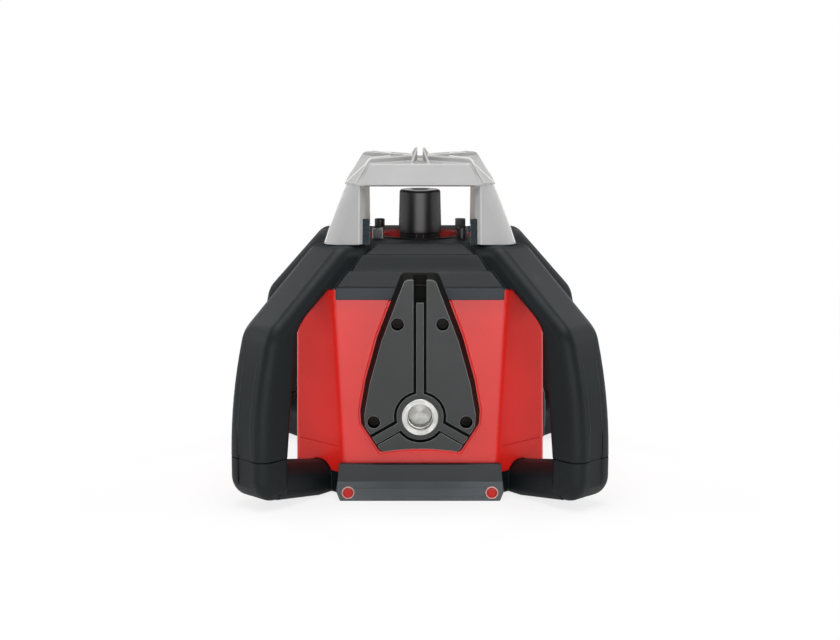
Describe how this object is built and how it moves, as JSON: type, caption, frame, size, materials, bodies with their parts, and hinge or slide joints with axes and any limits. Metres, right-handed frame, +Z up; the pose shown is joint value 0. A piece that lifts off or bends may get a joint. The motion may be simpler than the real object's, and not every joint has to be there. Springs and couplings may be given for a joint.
{
  "type": "rotary laser level",
  "caption": "Self-levelling rotary laser level: red casing, dark handled corners, guarded turning head, side mount plate, key panel, slide-out battery and inner gimbal.",
  "frame": {"origin": "middle of the underside, on the axis of the base thread", "axes": "+Z up along the turning head's axis; the side mount plate faces -Y, the key panel +Y and the battery slides out towards +X"},
  "size_m": [0.2306, 0.2306, 0.2117],
  "materials": {
    "red_casing": "satin moulded red plastic",
    "red_collar": "matt red moulded plastic",
    "grey_housing": "dark charcoal moulded plastic, fine texture",
    "black_rubber": "matt soft rubber",
    "light_guard": "light grey moulded plastic",
    "black_plate": "black satin powder coat",
    "bright_metal": "turned and polished",
    "steel": "zinc plated",
    "black_steel": "black oxide",
    "black_head": "black satin plastic",
    "panel_plastic": "dark moulded plastic",
    "key_rubber": "soft grey silicone",
    "power_key": "soft red silicone",
    "lens_glass": "coated optical glass",
    "board": "green circuit board",
    "cell_wrap": "shrink-wrapped cells",
    "brass_parts": "machined brass",
    "cast_frame": "die cast",
    "motor_metal": "plain steel can",
    "encoder_film": "etched film disc"
  },
  "bodies": {
    "frame": {"base_housing": "grey_housing", "base_plate": "black_plate", "base_screws": "steel", "base_thread_bush": "bright_metal", "battery_bay": "panel_plastic", "battery_terminals": "brass_parts", "board_spacers": "panel_plastic", "body_shell": "red_casing", "bumper_plugs": "red_collar", "bumpers": "black_rubber", "chassis_posts": "cast_frame", "chassis_ring": "cast_frame", "chassis_screws": "steel", "collar_brackets": "black_head", "collar_screws": "black_steel", "control_panel": "panel_plastic", "gimbal_pins_x": "steel", "guard_screws": "steel", "handle_screws": "black_steel", "head_collar": "red_collar", "head_guard": "light_guard", "keypad_board": "board", "leveling_motor_x": "motor_metal", "main_board": "board", "mount_insert": "bright_metal", "mount_plate": "black_plate", "mount_screws": "black_steel", "plate_pin": "black_steel", "shell_gasket": "black_rubber", "status_window": "lens_glass", "top_housing": "grey_housing"},
    "gimbal": {"gimbal_ring": "cast_frame", "gimbal_pins_y": "steel", "leveling_motor_y": "motor_metal"},
    "laser_unit": {"laser_tube": "cast_frame", "laser_diode": "brass_parts", "collimator_lens": "lens_glass", "level_vials": "cast_frame", "spindle_bearings": "steel", "motor_stator": "motor_metal"},
    "turning_head": {"spindle": "steel", "motor_rotor": "cast_frame", "encoder_disc": "encoder_film", "head_base": "black_head", "head_housing": "black_head", "pentaprism": "lens_glass", "head_window": "lens_glass", "head_cap_lens": "lens_glass"},
    "battery_pack": {"battery_case": "panel_plastic", "battery_cells": "cell_wrap", "battery_cover": "panel_plastic"},
    "nut_x": {"leveling_nut_x": "brass_parts"},
    "screw_x": {"leveling_screw_x": "steel"},
    "nut_y": {"leveling_nut_y": "brass_parts"},
    "screw_y": {"leveling_screw_y": "steel"},
    "power_key": {"power_button": "power_key"},
    "speed_key": {"speed_button": "key_rubber"},
    "line_key": {"line_button": "key_rubber"},
    "slope_key": {"slope_button": "key_rubber"},
    "shock_key": {"shock_button": "key_rubber"}
  },
  "joints": [
    {"name": "level_tilt_x", "type": "hinge", "parent": "frame", "child": "gimbal", "pos_m": [0, 0, 0.118], "axis": [1, 0, 0], "range_deg": [-5, 5]},
    {"name": "level_tilt_y", "type": "hinge", "parent": "gimbal", "child": "laser_unit", "pos_m": [0, 0, 0.118], "axis": [0, 1, 0], "range_deg": [-5, 5]},
    {"name": "head_spin", "type": "hinge", "parent": "laser_unit", "child": "turning_head", "pos_m": [0, 0, 0.15], "axis": [0, 0, 1], "continuous": true},
    {"name": "nut_x_lift", "type": "slide", "parent": "frame", "child": "nut_x", "axis": [0, 0, 1], "range_m": [-0.00511, 0.00511]},
    {"name": "screw_x_turn", "type": "hinge", "parent": "frame", "child": "screw_x", "pos_m": [0, -0.058, 0.11], "axis": [0, 0, 1], "range_deg": [-460.1, 460.1]},
    {"name": "nut_y_lift", "type": "slide", "parent": "gimbal", "child": "nut_y", "axis": [0, 0, 1], "range_m": [-0.00335, 0.00335]},
    {"name": "screw_y_turn", "type": "hinge", "parent": "gimbal", "child": "screw_y", "pos_m": [-0.038, 0, 0.09], "axis": [0, 0, 1], "range_deg": [-301.4, 301.4]},
    {"name": "power_press", "type": "slide", "parent": "frame", "child": "power_key", "axis": [0, -1, 0], "range_m": [0, 0.0008], "stiffness_N_per_m": 2500, "springref_m": -0.0002},
    {"name": "speed_press", "type": "slide", "parent": "frame", "child": "speed_key", "axis": [0, -1, 0], "range_m": [0, 0.0008], "stiffness_N_per_m": 2500, "springref_m": -0.0002},
    {"name": "line_press", "type": "slide", "parent": "frame", "child": "line_key", "axis": [0, -1, 0], "range_m": [0, 0.0008], "stiffness_N_per_m": 2500, "springref_m": -0.0002},
    {"name": "slope_press", "type": "slide", "parent": "frame", "child": "slope_key", "axis": [0, -1, 0], "range_m": [0, 0.0008], "stiffness_N_per_m": 2500, "springref_m": -0.0002},
    {"name": "shock_press", "type": "slide", "parent": "frame", "child": "shock_key", "axis": [0, -1, 0], "range_m": [0, 0.0008], "stiffness_N_per_m": 2500, "springref_m": -0.0002},
    {"name": "battery_slide", "type": "slide", "parent": "frame", "child": "battery_pack", "axis": [1, 0, 0], "range_m": [0, 0.09]}
  ],
  "couplings": [
    {"joint": "nut_x_lift", "follows": "level_tilt_x", "m_per_rad": -0.058},
    {"joint": "screw_x_turn", "follows": "level_tilt_x", "ratio": -91.106},
    {"joint": "nut_y_lift", "follows": "level_tilt_y", "m_per_rad": 0.038},
    {"joint": "screw_y_turn", "follows": "level_tilt_y", "ratio": 59.69}
  ]
}
